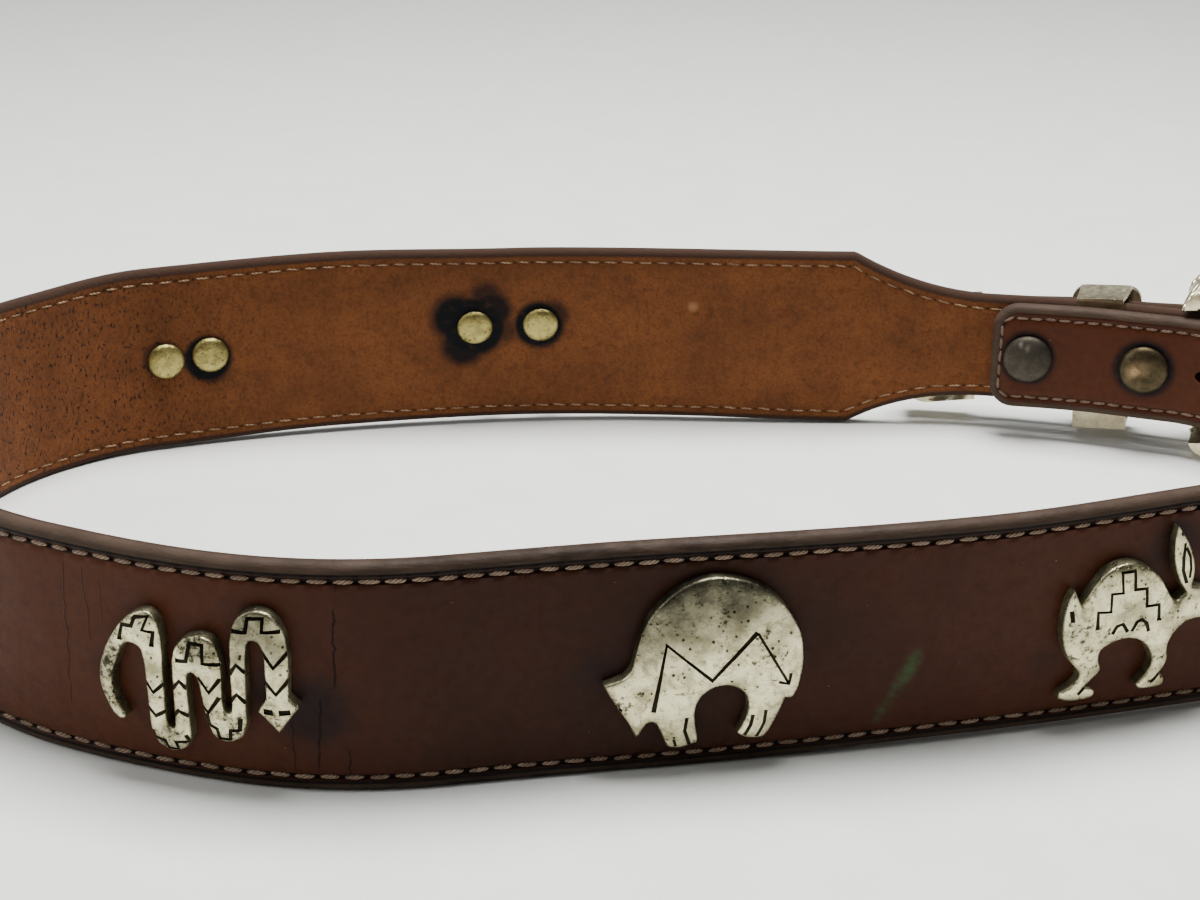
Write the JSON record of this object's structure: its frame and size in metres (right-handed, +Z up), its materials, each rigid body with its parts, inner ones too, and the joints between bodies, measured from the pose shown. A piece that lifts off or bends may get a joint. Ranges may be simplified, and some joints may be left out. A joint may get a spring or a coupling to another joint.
{
  "type": "studded leather belt",
  "caption": "Fastened two-layer leather belt standing on edge, with stitched edges, riveted cast animal ornaments, a framed buckle, a keeper and a metal tip.",
  "frame": {"origin": "under the middle of the belt's outer box, on the surface that its lower edge stands on", "axes": "+Z up, across the strap; +X along the long way of the loop, towards the buckle; +Y from the ornamented front stretch towards the back stretch"},
  "size_m": [0.3, 0.1519, 0.0395],
  "materials": {
    "grain_leather": "dark red-brown smooth grain, burnished edges",
    "suede_leather": "tan-brown mottled suede",
    "ornament_metal": "antiqued pewter, dark in the grooves",
    "rivet_metal": "worn pale nickel over brass",
    "dark_snap": "dark gunmetal",
    "brass_snap": "antique brass",
    "buckle_metal": "pale warm silver, softly polished"
  },
  "bodies": {
    "root": {"strap_cover": "grain_leather", "strap_lining": "suede_leather", "rabbit_back": "ornament_metal", "snake_back": "ornament_metal", "bear_side": "ornament_metal", "rabbit_side": "ornament_metal", "snake_front": "ornament_metal", "bear_front": "ornament_metal", "rabbit_front": "ornament_metal", "rivet_rabbit_back_1": "rivet_metal", "rivet_rabbit_back_2": "rivet_metal", "rivet_snake_back_1": "rivet_metal", "rivet_snake_back_2": "rivet_metal", "rivet_bear_side_1": "rivet_metal", "rivet_bear_side_2": "rivet_metal", "rivet_rabbit_side_1": "rivet_metal", "rivet_rabbit_side_2": "rivet_metal", "rivet_snake_front_1": "rivet_metal", "rivet_snake_front_2": "rivet_metal", "rivet_bear_front_1": "rivet_metal", "rivet_bear_front_2": "rivet_metal", "rivet_rabbit_front_1": "rivet_metal", "rivet_rabbit_front_2": "rivet_metal", "snap_cap_1": "dark_snap", "snap_stud_1": "brass_snap", "snap_cap_2": "brass_snap", "snap_stud_2": "brass_snap", "buckle_frame": "buckle_metal", "prong": "buckle_metal", "keeper": "buckle_metal", "tail_tip": "buckle_metal"}
  },
  "joints": []
}
